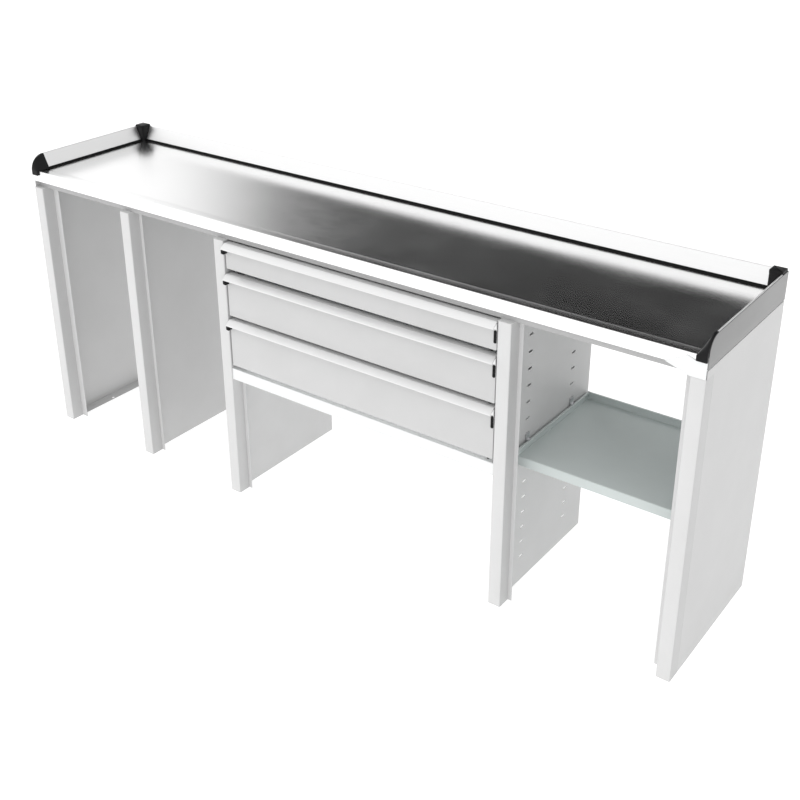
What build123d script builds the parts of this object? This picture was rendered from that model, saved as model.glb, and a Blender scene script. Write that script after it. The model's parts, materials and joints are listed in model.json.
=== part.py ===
"""Workshop bench: five sheet-steel uprights, a stainless worktop with upstands,
a stack of three drawers on telescopic slides, and one hung shelf.

Millimetres. X runs along the bench, Y from front to rear, Z up. The origin lies on the
floor, in the middle of the bench's box. Stations along the bench are written as distances
from its left end, and depths as distances behind the front face of the columns.
"""
import os

from build123d import *

# ---------------------------------------------------------------- driving dimensions
LENGTH = 2390            # overall length
DEPTH = 500              # column front face to the rear
HANDLE_OUT = 16          # how far the handles stand in front of the columns
TOP_Z = 938              # working surface above the floor
SHEET = 2                # folded and powder-coated sheet, over its paint

LEFT = -LENGTH / 2
FRONT = -(DEPTH - HANDLE_OUT) / 2

COLUMN_W = 40
COLUMN_D = 44
COLUMN_TOP = 883
COLUMN_BEND = 4          # outside radius of the column's two front bends
COLUMN_AT = [0, 420, 832, 1832, LENGTH - COLUMN_W]
BACKING_W = 64           # plate behind each column, to which the panel is welded
PANEL_FRONT = COLUMN_D + SHEET
REAR_FLANGE = 20

FASCIA_AT = 3            # front face of the worktop's edge
FASCIA_BOTTOM = 903
CORE_BOTTOM = FASCIA_BOTTOM + SHEET
EDGE_BAND = 40           # band along the worktop's front edge, which rises to a drip lip
EDGE_RISE = 3
EDGE_ROUND = 5
EAR_DEPTH = 5            # where the end panels' upper edges stop, behind the fascia
RAIL_AT = 20
RAIL_FLANGE = 40

UPSTAND_H = 52           # above the working surface
UPSTAND_BASE = 24        # width at its foot
APRON_BOTTOM = 908       # lower edge of the upstands' outer walls
SEAL = 8
REBATE = 0.5             # step in the skin's margin, on which the upstands and seal are bedded
POST = 40                # corner post, along each side
CAP_BACK = 47            # rear end of the front end caps
CAP_NOSE = -3
CAP_BOTTOM = 927

ANCHOR_R = 5
ANCHOR_IN = 30           # floor-anchor holes, from the bench's ends
ANCHOR_AT = [197, 397]

SLOT_PITCH = 50.8
SLOT_TOP = 798
SLOT_COUNT = 15
SLOT_ROWS = [141, 391]
SLOT_L = 20
SLOT_H = 6

DRAWER_NAMES = ["top", "middle", "bottom"]
FRONT_BOTTOM = [795, 640, 470]
FRONT_TOP = [879, 780, 629]
FRONT_SIDE_GAP = 3.5
FRONT_FACE = 4
FRONT_THICK = 18
TRAY_LEFT = 897
TRAY_RIGHT = 1807
TRAY_REAR = 470
TRAY_LIFT = 8            # tray floor above the front's lower edge
TRAY_SINK = 16           # tray rim below the front's upper edge
SILL_BOTTOM = 421
SILL_TOP = 458

SLIDE_FRONT = 50
SLIDE_REAR = 490
SLIDE_LIFT = 26          # slide centre above the tray floor
SLIDE_WALL = 1.5
POST_FACE = 884.5        # slides are screwed to posts with this inner face

SHELF_Z = 452
SHELF_LEFT = 1858
SHELF_RIGHT = 2374
SHELF_FRONT = 88
SHELF_REAR = 493
SHELF_LIP = 25
SHELF_APRON = 30
STRIP_FACE = 2380


# ---------------------------------------------------------------- helpers
def along(u):
    """X of a station measured from the bench's left end."""
    return LEFT + u


def deep(v):
    """Y of a depth measured behind the columns' front face."""
    return FRONT + v


def block(u, v, z, mode=Mode.ADD):
    """Add a box from ranges along the bench, in depth and in height."""
    centre = (along(sum(u) / 2), deep(sum(v) / 2), sum(z) / 2)
    with Locations(centre):
        Box(u[1] - u[0], v[1] - v[0], z[1] - z[0], mode=mode)


def bar_along_x(points, u_start, u_end):
    """A section of (depth, height) points, carried along the bench."""
    with BuildPart() as bar:
        with BuildSketch(Plane.YZ.offset(along(u_start))):
            with BuildLine():
                Polyline(*[(deep(v), z) for v, z in points], close=True)
            make_face()
        extrude(amount=u_end - u_start)
    return bar.part


def bar_along_y(points, v_start, v_end):
    """A section of (station, height) points, carried from front to rear."""
    with BuildPart() as bar:
        with BuildSketch(Plane.XZ.offset(-deep(v_end))):
            with BuildLine():
                Polyline(*[(along(u), z) for u, z in points], close=True)
            make_face()
        extrude(amount=v_end - v_start)
    return bar.part


def save(part, name):
    part.label = name
    export_step(part, f"parts/{name}.step")


os.makedirs("parts", exist_ok=True)

# ---------------------------------------------------------------- uprights
def make_column(left, plate_left):
    """Folded column cover with two rounded bends, a lid, and a wider backing plate."""
    with BuildPart() as column:
        with BuildSketch() as section:
            with Locations((along(left + COLUMN_W / 2), deep(COLUMN_D / 2))):
                Rectangle(COLUMN_W, COLUMN_D)
            front_corners = section.vertices().group_by(Axis.Y)[0]
            fillet(front_corners, COLUMN_BEND)
            with Locations((along(left + COLUMN_W / 2), deep(COLUMN_D / 2 + SHEET))):
                Rectangle(COLUMN_W - 2 * SHEET, COLUMN_D, mode=Mode.SUBTRACT)
            with Locations((along(plate_left + BACKING_W / 2), deep(COLUMN_D + SHEET / 2))):
                Rectangle(BACKING_W, SHEET)
        extrude(amount=COLUMN_TOP)
        lid = (left + SHEET, left + COLUMN_W - SHEET)
        block(lid, (SHEET, COLUMN_D), (COLUMN_TOP - SHEET, COLUMN_TOP))
    return column.part


def make_end_panel(outer, inward):
    """Outer sheet of the bench's end, with a rear flange and a floor flange with two holes.

    Its upper edge runs forward over the column, behind the fascia.
    inward is 1 at the left end and -1 at the right end.
    """
    def across(near, far):
        ends = [outer + inward * near, outer + inward * far]
        return min(ends), max(ends)

    with BuildPart() as panel:
        block(across(0, SHEET), (PANEL_FRONT, DEPTH - SHEET), (0, CORE_BOTTOM))
        block(across(0, SHEET), (EAR_DEPTH, PANEL_FRONT), (COLUMN_TOP, CORE_BOTTOM))
        block(across(0, REAR_FLANGE), (DEPTH - SHEET, DEPTH), (0, COLUMN_TOP))
        block(across(0, COLUMN_W), (PANEL_FRONT, DEPTH - SHEET), (0, SHEET))
        holes = [(along(outer + inward * ANCHOR_IN), deep(v), SHEET) for v in ANCHOR_AT]
        with Locations(*holes):
            Hole(ANCHOR_R, SHEET)
    return panel.part


def make_inner_panel(middle, slotted):
    """Middle web behind a column, with a flange along its rear edge."""
    with BuildPart() as panel:
        block((middle - SHEET / 2, middle + SHEET / 2), (PANEL_FRONT, DEPTH - SHEET), (0, COLUMN_TOP))
        block((middle - REAR_FLANGE, middle + SHEET / 2), (DEPTH - SHEET, DEPTH), (0, COLUMN_TOP))
        if slotted:
            with BuildSketch(Plane.YZ.offset(along(middle - SHEET))):
                with Locations(*slot_places()):
                    SlotOverall(SLOT_L, SLOT_H)
            extrude(amount=2 * SHEET, mode=Mode.SUBTRACT)
    return panel.part


def slot_places():
    """Centres of the shelf slots, as (Y, Z)."""
    heights = [SLOT_TOP - SLOT_PITCH * n for n in range(SLOT_COUNT)]
    return [(deep(v), z) for v in SLOT_ROWS for z in heights]


for number, left in enumerate(COLUMN_AT, start=1):
    plate_left = min(max(left - (BACKING_W - COLUMN_W) / 2, 0), LENGTH - BACKING_W)
    save(make_column(left, plate_left), f"column_{number}")

WEBS = [left + COLUMN_W / 2 for left in COLUMN_AT[1:4]]
save(make_end_panel(0, 1), "panel_left")
save(make_end_panel(LENGTH, -1), "panel_right")
for number, web in enumerate(WEBS, start=2):
    save(make_inner_panel(web, slotted=number == 4), f"panel_{number}")

# ---------------------------------------------------------------- rails and sill
RAIL_REAR_AT = DEPTH - RAIL_FLANGE - SHEET

with BuildPart() as front_rail:
    block((SHEET, LENGTH - SHEET), (RAIL_AT, RAIL_AT + SHEET), (COLUMN_TOP, CORE_BOTTOM))
    block((SHEET, LENGTH - SHEET), (RAIL_AT, RAIL_AT + RAIL_FLANGE), (CORE_BOTTOM - SHEET, CORE_BOTTOM))
    block((SHEET, LENGTH - SHEET), (RAIL_AT, RAIL_AT + COLUMN_D / 2), (COLUMN_TOP, COLUMN_TOP + SHEET))
save(front_rail.part, "front_rail")

with BuildPart() as rear_rail:
    block((SHEET, LENGTH - SHEET), (DEPTH - 2 * SHEET, DEPTH - SHEET), (COLUMN_TOP, CORE_BOTTOM))
    block((SHEET, LENGTH - SHEET), (RAIL_REAR_AT, DEPTH - SHEET), (CORE_BOTTOM - SHEET, CORE_BOTTOM))
    block((SHEET, LENGTH - SHEET), (RAIL_REAR_AT, DEPTH - SHEET), (COLUMN_TOP, COLUMN_TOP + SHEET))
save(rear_rail.part, "rear_rail")

BAY_LEFT = COLUMN_AT[2] + COLUMN_W
BAY_RIGHT = COLUMN_AT[3]
SILL_D = 26

with BuildPart() as drawer_sill:
    block((BAY_LEFT, BAY_RIGHT), (FRONT_FACE, FRONT_FACE + SHEET), (SILL_BOTTOM, SILL_TOP))
    block((BAY_LEFT, BAY_RIGHT), (FRONT_FACE, FRONT_FACE + SILL_D), (SILL_TOP - SHEET, SILL_TOP))
    block((BAY_LEFT, BAY_RIGHT), (FRONT_FACE, FRONT_FACE + SILL_D), (SILL_BOTTOM, SILL_BOTTOM + SHEET))
save(drawer_sill.part, "drawer_sill")

# ---------------------------------------------------------------- worktop
SIDE_LEFT = SHEET
SIDE_RIGHT = LENGTH - SHEET
TOP_REAR = DEPTH - SHEET
BAND_REAR = FASCIA_AT + EDGE_BAND
EDGE_Z = TOP_Z + EDGE_RISE
CORE_TOP = TOP_Z - SHEET
FOOT_Z = TOP_Z - REBATE
RIM_Z = TOP_Z + UPSTAND_H
RETURN_D = 12
MARGIN = UPSTAND_BASE + SEAL - 1.5


def edge_line(inset):
    """Front edge section from the flat top down to the fascia's foot, inset by a thickness."""
    return [
        (BAND_REAR, TOP_Z - inset),
        (FASCIA_AT + EDGE_ROUND, EDGE_Z - inset),
        (FASCIA_AT + EDGE_ROUND * 0.3 + inset * 0.7, EDGE_Z - EDGE_ROUND * 0.3 - inset * 0.7),
        (FASCIA_AT + inset, EDGE_Z - EDGE_ROUND),
    ]


skin_points = [(TOP_REAR, TOP_Z)] + edge_line(0)
skin_points += [(FASCIA_AT, FASCIA_BOTTOM), (FASCIA_AT + RETURN_D, FASCIA_BOTTOM)]
skin_points += [(FASCIA_AT + RETURN_D, CORE_BOTTOM), (FASCIA_AT + SHEET, CORE_BOTTOM)]
skin_points += list(reversed(edge_line(SHEET))) + [(TOP_REAR, CORE_TOP)]

with BuildPart() as worktop_skin:
    add(bar_along_x(skin_points, SIDE_LEFT, SIDE_RIGHT))
    margin_z = (FOOT_Z, TOP_Z)
    block((SIDE_LEFT, MARGIN), (BAND_REAR, TOP_REAR), margin_z, mode=Mode.SUBTRACT)
    block((LENGTH - MARGIN, SIDE_RIGHT), (BAND_REAR, TOP_REAR), margin_z, mode=Mode.SUBTRACT)
    block((SIDE_LEFT, SIDE_RIGHT), (DEPTH - MARGIN, TOP_REAR), margin_z, mode=Mode.SUBTRACT)
    for corner in (0, LENGTH):
        across = (max(corner - POST - REBATE, SIDE_LEFT), min(corner + POST + REBATE, SIDE_RIGHT))
        block(across, (DEPTH - POST - REBATE, TOP_REAR), margin_z, mode=Mode.SUBTRACT)
save(worktop_skin.part, "worktop_skin")

core_points = [(TOP_REAR, CORE_TOP)] + edge_line(SHEET)
core_points += [(FASCIA_AT + SHEET, CORE_BOTTOM), (TOP_REAR, CORE_BOTTOM)]
save(bar_along_x(core_points, SIDE_LEFT, SIDE_RIGHT), "worktop_core")

# Hexagon heads under the two rails, where the worktop is screwed down.
SCREW_AT = [60, 380, 700, 1020, 1370, 1700, 2040, 2330]
SCREW_R = 6
SCREW_H = 5

with BuildPart() as worktop_screws:
    places = [(along(u), deep(v)) for u in SCREW_AT for v in (RAIL_AT + 30, RAIL_REAR_AT + 12)]
    with BuildSketch(Plane.XY.offset(CORE_BOTTOM - SHEET - SCREW_H)):
        with Locations(*places):
            RegularPolygon(SCREW_R, 6)
    extrude(amount=SCREW_H)
save(worktop_screws.part, "worktop_screws")

# Pressed ear that carries the fascia's right end down to the last column. Its thinner
# wing tapers along the fascia, and its thicker pad stands over the column's front.
EAR_FOOT = COLUMN_TOP + 0.5
EAR_TIP = (LENGTH - 104, FASCIA_BOTTOM + 0.5)
EAR_BEND = (LENGTH - 64, EAR_FOOT + 6.5)
EAR_CORNER = (COLUMN_AT[4], EAR_FOOT)
EAR_PEAK = (LENGTH - 53, FASCIA_BOTTOM + 31)
EAR_TOP = CAP_BOTTOM - 0.5
wing = [EAR_TIP, EAR_BEND, EAR_CORNER, (COLUMN_AT[4], EAR_PEAK[1] - 3), EAR_PEAK]
pad = [EAR_BEND, EAR_CORNER, (SIDE_RIGHT, EAR_FOOT), (SIDE_RIGHT, EAR_TOP), (LENGTH - 31, EAR_TOP), EAR_PEAK]

with BuildPart() as corner_gusset:
    for outline, start in ((wing, FASCIA_AT / 2), (pad, 0)):
        with BuildSketch(Plane.XZ.offset(-deep(FASCIA_AT))):
            with BuildLine():
                Polyline(*[(along(u), z) for u, z in outline], close=True)
            make_face()
        extrude(amount=FASCIA_AT - start)
save(corner_gusset.part, "corner_gusset")

# ---------------------------------------------------------------- upstands
SLOPE_TOP = 5


def upstand_section():
    """Hollow upstand as (distance in from the outer face, height), outside and inside."""
    outside = [(SHEET, FOOT_Z), (UPSTAND_BASE, FOOT_Z), (UPSTAND_BASE, TOP_Z + SEAL)]
    outside += [(SLOPE_TOP, RIM_Z - 1), (SLOPE_TOP - 2, RIM_Z), (SHEET, RIM_Z)]
    inside = [(2 * SHEET, TOP_Z + SHEET), (UPSTAND_BASE - SHEET, TOP_Z + SHEET)]
    inside += [(UPSTAND_BASE - SHEET, TOP_Z + SEAL - 1), (SLOPE_TOP - SHEET, RIM_Z - SHEET - 1)]
    inside += [(2 * SHEET, RIM_Z - SHEET)]
    return outside, inside


def make_side_upstand(to_station):
    outside, inside = upstand_section()
    shell = bar_along_y([(to_station(w), z) for w, z in outside], CAP_BACK, DEPTH - POST)
    hollow = bar_along_y([(to_station(w), z) for w, z in inside], CAP_BACK, DEPTH - POST)
    with BuildPart() as upstand:
        add(shell)
        add(hollow, mode=Mode.SUBTRACT)
    return upstand.part


def make_rear_upstand():
    """The rear profile has its own outer wall, which covers the worktop's rear edge."""
    outside, inside = upstand_section()
    shell = bar_along_x([(DEPTH - w, z) for w, z in outside], POST, LENGTH - POST)
    hollow = bar_along_x([(DEPTH - w, z) for w, z in inside], POST, LENGTH - POST)
    with BuildPart() as upstand:
        add(shell)
        add(hollow, mode=Mode.SUBTRACT)
        block((SHEET, LENGTH - SHEET), (DEPTH - SHEET, DEPTH), (APRON_BOTTOM, RIM_Z - 2))
    return upstand.part


def make_side_plate(u_start):
    """Flat outer plate of an end, with its front upper corner rounded."""
    plate_front = FASCIA_AT + 2
    corner = CAP_BACK - plate_front
    with BuildPart() as plate:
        with BuildSketch(Plane.YZ.offset(along(u_start))) as face:
            with Locations((deep((plate_front + DEPTH) / 2), (APRON_BOTTOM + RIM_Z - 2) / 2)):
                Rectangle(DEPTH - plate_front, RIM_Z - 2 - APRON_BOTTOM)
            nose = face.vertices().sort_by(Axis.Y)[:2].sort_by(Axis.Z)[-1]
            fillet(nose, corner)
        extrude(amount=SHEET)
    return plate.part


save(make_side_upstand(lambda w: w), "upstand_left")
save(make_side_upstand(lambda w: LENGTH - w), "upstand_right")
save(make_rear_upstand(), "upstand_rear")
save(make_side_plate(0), "side_plate_left")
save(make_side_plate(LENGTH - SHEET), "side_plate_right")

# Rubber seal along the foot of the upstands: one strip behind and one at each end.
SEAL_OUT = UPSTAND_BASE + SEAL - 2
seal_section = [(UPSTAND_BASE, FOOT_Z), (SEAL_OUT, FOOT_Z), (SEAL_OUT, TOP_Z + 1.5)]
seal_section += [(UPSTAND_BASE + 3, TOP_Z + SEAL - 2), (UPSTAND_BASE, TOP_Z + SEAL)]

with BuildPart() as worktop_seal:
    add(bar_along_x([(DEPTH - w, z) for w, z in seal_section], POST, LENGTH - POST))
    add(bar_along_y([(w, z) for w, z in seal_section], CAP_BACK, DEPTH - POST))
    add(bar_along_y([(LENGTH - w, z) for w, z in seal_section], CAP_BACK, DEPTH - POST))
save(worktop_seal.part, "worktop_seal")

POST_TALL = 6
POST_INNER_R = 6
POST_TOP_R = 3


def make_corner_post(u_start):
    """Moulded block that joins two upstands, a little taller than they are."""
    with BuildPart() as post:
        across = (u_start, u_start + POST - SHEET)
        block(across, (DEPTH - POST, DEPTH - SHEET), (FOOT_Z, RIM_Z + POST_TALL))
        inner = post.edges().filter_by(Axis.Z).group_by(Axis.Y)[0]
        inner = inner.sort_by(lambda edge: abs(edge.center().X))[0]
        fillet(inner, POST_INNER_R)
        fillet(post.faces().sort_by(Axis.Z)[-1].edges(), POST_TOP_R)
    return post.part


CAP_RIM_OUT = SLOPE_TOP + 3


def make_end_cap(to_station):
    """Moulding on the front end of a side upstand, hooked over the edge.

    It is a quarter-round in side view, and the upstand's sloping section in front view.
    """
    front_view = [(SHEET, CAP_BOTTOM), (SEAL_OUT, CAP_BOTTOM), (SEAL_OUT, EDGE_Z + SEAL / 2)]
    front_view += [(CAP_RIM_OUT, RIM_Z), (SHEET, RIM_Z)]
    u_start = min(to_station(SHEET), to_station(SEAL_OUT))
    with BuildPart() as cap:
        with BuildSketch(Plane.YZ.offset(along(u_start))):
            with BuildLine():
                Polyline(
                    (deep(CAP_NOSE), EDGE_Z), (deep(CAP_NOSE), CAP_BOTTOM), (deep(FASCIA_AT), CAP_BOTTOM),
                    (deep(FASCIA_AT), EDGE_Z), (deep(FASCIA_AT + EDGE_ROUND), EDGE_Z),
                    (deep(BAND_REAR), TOP_Z), (deep(BAND_REAR), FOOT_Z), (deep(CAP_BACK), FOOT_Z),
                    (deep(CAP_BACK), RIM_Z),
                )
                EllipticalCenterArc(
                    (deep(CAP_BACK), EDGE_Z), CAP_BACK - CAP_NOSE, RIM_Z - EDGE_Z,
                    start_angle=90, arc_size=90,
                )
            make_face()
        extrude(amount=SEAL_OUT - SHEET)
        add(
            bar_along_y([(to_station(w), z) for w, z in front_view], CAP_NOSE, CAP_BACK),
            mode=Mode.INTERSECT,
        )
    return cap.part


save(make_corner_post(SHEET), "corner_post_left")
save(make_corner_post(LENGTH - POST), "corner_post_right")
save(make_end_cap(lambda w: w), "end_cap_left")
save(make_end_cap(lambda w: LENGTH - w), "end_cap_right")

# ---------------------------------------------------------------- shelf
STRIP_HALF = 15          # half width of a slotted strip
STRIP_Z = (60, 870)
CLIP_W = 16
CLIP_Z = SLOT_TOP - 6 * SLOT_PITCH
LIP_TOP = SHELF_Z + SHELF_LIP

with BuildPart() as shelf:
    block((SHELF_LEFT, SHELF_RIGHT), (SHELF_FRONT, SHELF_REAR), (SHELF_Z - SHEET, SHELF_Z))
    block((SHELF_LEFT, SHELF_RIGHT), (SHELF_FRONT, SHELF_FRONT + SHEET), (SHELF_Z - SHELF_APRON, SHELF_Z))
    block((SHELF_LEFT, SHELF_RIGHT), (SHELF_REAR - SHEET, SHELF_REAR), (SHELF_Z, LIP_TOP))
    block((SHELF_LEFT, SHELF_LEFT + SHEET), (SHELF_FRONT, SHELF_REAR), (SHELF_Z, LIP_TOP))
    block((SHELF_RIGHT - SHEET, SHELF_RIGHT), (SHELF_FRONT, SHELF_REAR), (SHELF_Z, LIP_TOP))
save(shelf.part, "shelf")

with BuildPart() as shelf_strips:
    for row in SLOT_ROWS:
        v_front, v_rear = row - STRIP_HALF, row + STRIP_HALF
        block((STRIP_FACE, STRIP_FACE + SHEET), (v_front, v_rear), STRIP_Z)
        block((STRIP_FACE, LENGTH - SHEET), (v_front, v_front + SHEET), STRIP_Z)
        block((STRIP_FACE, LENGTH - SHEET), (v_rear - SHEET, v_rear), STRIP_Z)
    with BuildSketch(Plane.YZ.offset(along(STRIP_FACE - SHEET))):
        with Locations(*slot_places()):
            SlotOverall(SLOT_L, SLOT_H)
    extrude(amount=2 * SHEET, mode=Mode.SUBTRACT)
save(shelf_strips.part, "shelf_strips")


def clip_blocks(wall, lip, row):
    """Clip between a slotted wall and the shelf's lip: body, hook over the lip, and tongue."""
    side = 1 if lip > wall else -1
    for near, far, z in (
        (wall, lip, (LIP_TOP - 16, CLIP_Z + 5)),
        (lip - side, lip + side * 5, (LIP_TOP, LIP_TOP + 3)),
        (wall - side * SHEET, wall, (CLIP_Z - 2, CLIP_Z + 2)),
    ):
        block((min(near, far), max(near, far)), (row - CLIP_W / 2, row + CLIP_W / 2), z)


with BuildPart() as shelf_clips:
    for row in SLOT_ROWS:
        clip_blocks(WEBS[2] + SHEET / 2, SHELF_LEFT, row)
        clip_blocks(STRIP_FACE, SHELF_RIGHT, row)
save(shelf_clips.part, "shelf_clips")

# ---------------------------------------------------------------- drawer slides
MIRROR_AT = BAY_LEFT + BAY_RIGHT


def both_sides(u, v, z):
    """The same box at the left and right of the drawer bay."""
    block(u, v, z)
    block((MIRROR_AT - u[1], MIRROR_AT - u[0]), v, z)


SLIDE_POST_Z = (432, 878)
SLIDE_POST_AT = [60, 440]
SLIDE_POST_W = 30

with BuildPart() as slide_posts:
    web_face = WEBS[1] + SHEET / 2
    for v_start in SLIDE_POST_AT:
        v_end = v_start + SLIDE_POST_W
        both_sides((POST_FACE - SHEET, POST_FACE), (v_start, v_end), SLIDE_POST_Z)
        both_sides((web_face, POST_FACE), (v_start, v_start + SHEET), SLIDE_POST_Z)
        both_sides((web_face, POST_FACE), (v_end - SHEET, v_end), SLIDE_POST_Z)
save(slide_posts.part, "slide_posts")


def make_rail_pair(u_web, lip_end, half, v, centre):
    """A pair of C rails: an upright web with a lip along its top and bottom."""
    web = (min(u_web), max(u_web))
    lips = (min(u_web[0], lip_end), max(u_web[1], lip_end))
    with BuildPart() as rails:
        both_sides(web, v, (centre - half, centre + half))
        both_sides(lips, v, (centre + half - SLIDE_WALL, centre + half))
        both_sides(lips, v, (centre - half, centre - half + SLIDE_WALL))
    return rails.part


FIXED_WEB = (POST_FACE, POST_FACE + SLIDE_WALL)
MID_WEB = (POST_FACE + 2.1, POST_FACE + 2.1 + SLIDE_WALL)
INNER_WEB = (TRAY_LEFT - SLIDE_WALL, TRAY_LEFT)

# ---------------------------------------------------------------- drawers
FRONT_LEFT = BAY_LEFT + FRONT_SIDE_GAP
FRONT_RIGHT = BAY_RIGHT - FRONT_SIDE_GAP
FRONT_REAR = FRONT_FACE + FRONT_THICK
GRIP_DROP = 15           # the lip below a front's upper edge
GRIP_LEG = 24            # foot of the grip's leg on the front's face
GRIP_ROOT = 4.5          # underside of the band where it meets the leg
LIP_LAND = 2             # upright face of the lip
LIP_EASE = 1.5
LIP_THICK = 3
CAP_W = 8
CAP_SIDE_GAP = 0.5
CAP_FIT = 0.4            # clearance between an end moulding and the grip
PLATE_FOOT = 33          # left end plate's lower edge, below the front's upper edge
PLATE_EASE = 4
BAR_TOP = 27             # right end bar, below the front's upper edge
BAR_FOOT = 63
BAR_OUT = 1
BAR_EASE = 2
BUMPER_AT = 1811
BUMPER_R = 4
BUMPER_H = 6


def plate_solid(u, v, z, front_round=0):
    """One flat plate, whose front upright edges may be rounded."""
    with BuildPart() as plate:
        block(u, v, z)
        if front_round:
            fillet(plate.faces().sort_by(Axis.Y)[0].edges().filter_by(Axis.Z), front_round)
    return plate.part.solids()[0]


def make_front(bottom, top):
    """Front pan of welded plates: a face, with a flange behind each of its four edges."""
    upper = top - 0.5
    left, right = FRONT_LEFT, FRONT_RIGHT
    behind = (FRONT_FACE + SHEET, FRONT_REAR)
    between = (bottom + SHEET, upper - SHEET)
    return Compound([
        plate_solid((left, right), (FRONT_FACE, FRONT_FACE + SHEET), (bottom, upper), front_round=1),
        plate_solid((left, right), behind, (upper - SHEET, upper)),
        plate_solid((left, right), behind, (bottom, bottom + SHEET)),
        plate_solid((left, left + SHEET), behind, between),
        plate_solid((right - SHEET, right), behind, between),
    ])


def make_tray(floor, rim):
    """Open tray behind the front: a floor and four walls, welded along their edges."""
    across = (TRAY_LEFT, TRAY_RIGHT)
    walls = (floor + SHEET, rim)
    inside = (FRONT_REAR + SHEET, TRAY_REAR - SHEET)
    return Compound([
        plate_solid(across, (FRONT_REAR, TRAY_REAR), (floor, floor + SHEET)),
        plate_solid(across, (FRONT_REAR, FRONT_REAR + SHEET), walls),
        plate_solid(across, (TRAY_REAR - SHEET, TRAY_REAR), walls),
        plate_solid((TRAY_LEFT, TRAY_LEFT + SHEET), inside, walls),
        plate_solid((TRAY_RIGHT - SHEET, TRAY_RIGHT), inside, walls),
    ])


def make_handle(top):
    """Full-width grip: a leg on the front's face and a band that slopes out to a lip."""
    lip = top - GRIP_DROP
    out = -HANDLE_OUT
    back = FRONT_FACE - SHEET
    section = [
        (FRONT_FACE, top), (out + LIP_EASE, lip + LIP_LAND), (out, lip), (out, lip - LIP_LAND),
        (out + LIP_EASE, lip - LIP_THICK), (out + LIP_THICK, lip - LIP_LAND), (out + LIP_THICK, lip - 0.3),
        (back, top - GRIP_ROOT), (back, top - GRIP_LEG), (FRONT_FACE, top - GRIP_LEG),
    ]
    return bar_along_x(section, FRONT_LEFT, FRONT_RIGHT)


def make_handle_caps(top):
    """Mouldings at the grip's ends: a plate under the band on the left, a flush bar on the right."""
    under = top - GRIP_DROP - LIP_THICK - CAP_FIT
    foot = top - PLATE_FOOT
    leg_face = FRONT_FACE - SHEET - CAP_FIT
    leg_foot = top - GRIP_LEG - CAP_FIT
    nose = CAP_FIT - HANDLE_OUT
    plate = [
        (leg_face, under), (nose, under), (nose, foot + PLATE_EASE), (nose + PLATE_EASE, foot),
        (FRONT_FACE, foot), (FRONT_FACE, leg_foot), (leg_face, leg_foot),
    ]
    bar_top = top - BAR_TOP
    bar_foot = top - BAR_FOOT
    bar = [
        (FRONT_FACE, bar_top), (BAR_OUT + BAR_EASE, bar_top), (BAR_OUT, bar_top - BAR_EASE),
        (BAR_OUT, bar_foot + BAR_EASE), (BAR_OUT + BAR_EASE, bar_foot), (FRONT_FACE, bar_foot),
    ]
    with BuildPart() as caps:
        add(bar_along_x(plate, FRONT_LEFT + CAP_SIDE_GAP, FRONT_LEFT + CAP_W))
        add(bar_along_x(bar, FRONT_RIGHT - CAP_W - CAP_SIDE_GAP, FRONT_RIGHT - CAP_SIDE_GAP))
    return caps.part


def make_bumper(bottom):
    """Rubber stop under the right end of a front."""
    with BuildPart() as bumper:
        with BuildSketch(Plane.XY.offset(bottom - BUMPER_H)):
            with Locations((along(BUMPER_AT), deep(FRONT_FACE + 7))):
                Circle(BUMPER_R)
        extrude(amount=BUMPER_H)
        fillet(bumper.faces().sort_by(Axis.Z)[0].edges(), 1.5)
    return bumper.part


for name, bottom, top in zip(DRAWER_NAMES, FRONT_BOTTOM, FRONT_TOP):
    floor = bottom + TRAY_LIFT
    centre = floor + SLIDE_LIFT
    save(make_front(bottom, top), f"drawer_front_{name}")
    save(make_tray(floor, top - TRAY_SINK), f"drawer_tray_{name}")
    save(make_handle(top), f"handle_{name}")
    save(make_handle_caps(top), f"handle_caps_{name}")
    save(make_bumper(bottom), f"bumper_{name}")
    fixed = make_rail_pair(FIXED_WEB, POST_FACE + 8.5, 23, (SLIDE_FRONT, SLIDE_REAR), centre)
    save(fixed, f"slide_fixed_{name}")
    mid = make_rail_pair(MID_WEB, POST_FACE + 8.5, 20.8, (SLIDE_FRONT, SLIDE_REAR - 10), centre)
    save(mid, f"slide_mid_{name}")
    inner = make_rail_pair(INNER_WEB, POST_FACE + 4.5, 14, (SLIDE_FRONT, TRAY_REAR), centre)
    save(inner, f"slide_inner_{name}")
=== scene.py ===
"""Looks of a workshop bench: painted uprights, a stainless worktop, drawers and a shelf.

Laid out as an add-on, and run as a script. Metres, in the row frame: X runs along the
bench, Y from front to rear and Z up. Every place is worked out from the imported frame.
"""
import json
import math

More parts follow.
